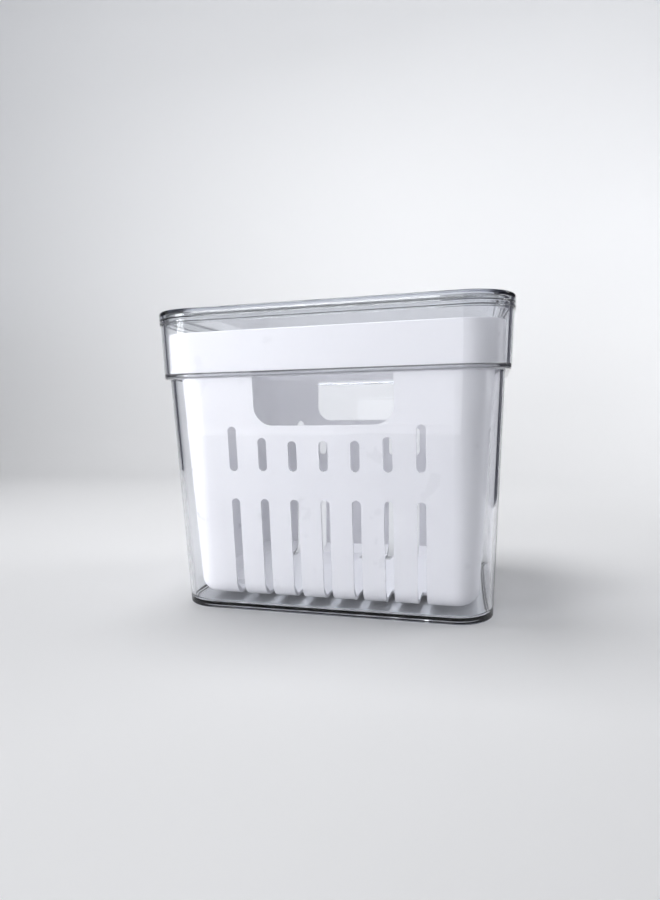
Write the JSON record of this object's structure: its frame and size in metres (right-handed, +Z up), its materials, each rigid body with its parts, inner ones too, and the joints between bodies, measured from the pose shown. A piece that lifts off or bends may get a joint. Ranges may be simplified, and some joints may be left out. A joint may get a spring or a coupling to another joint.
{
  "type": "fridge organizer with basket",
  "caption": "Clear lidded fridge bin holding a white slotted strainer basket that hangs by its stepped rim on a ledge inside, with hand windows front and back.",
  "frame": {"origin": "on the surface the bin stands on, under the middle of the lid", "axes": "+X along the long side, +Y from the front window to the back, +Z up"},
  "size_m": [0.211, 0.16, 0.1803],
  "materials": {
    "clear_plastic": "clear, glossy, injection moulded",
    "white_plastic": "opaque white, satin, injection moulded"
  },
  "bodies": {
    "root": {"bin": "clear_plastic", "basket": "white_plastic", "lid": "clear_plastic"}
  },
  "joints": []
}
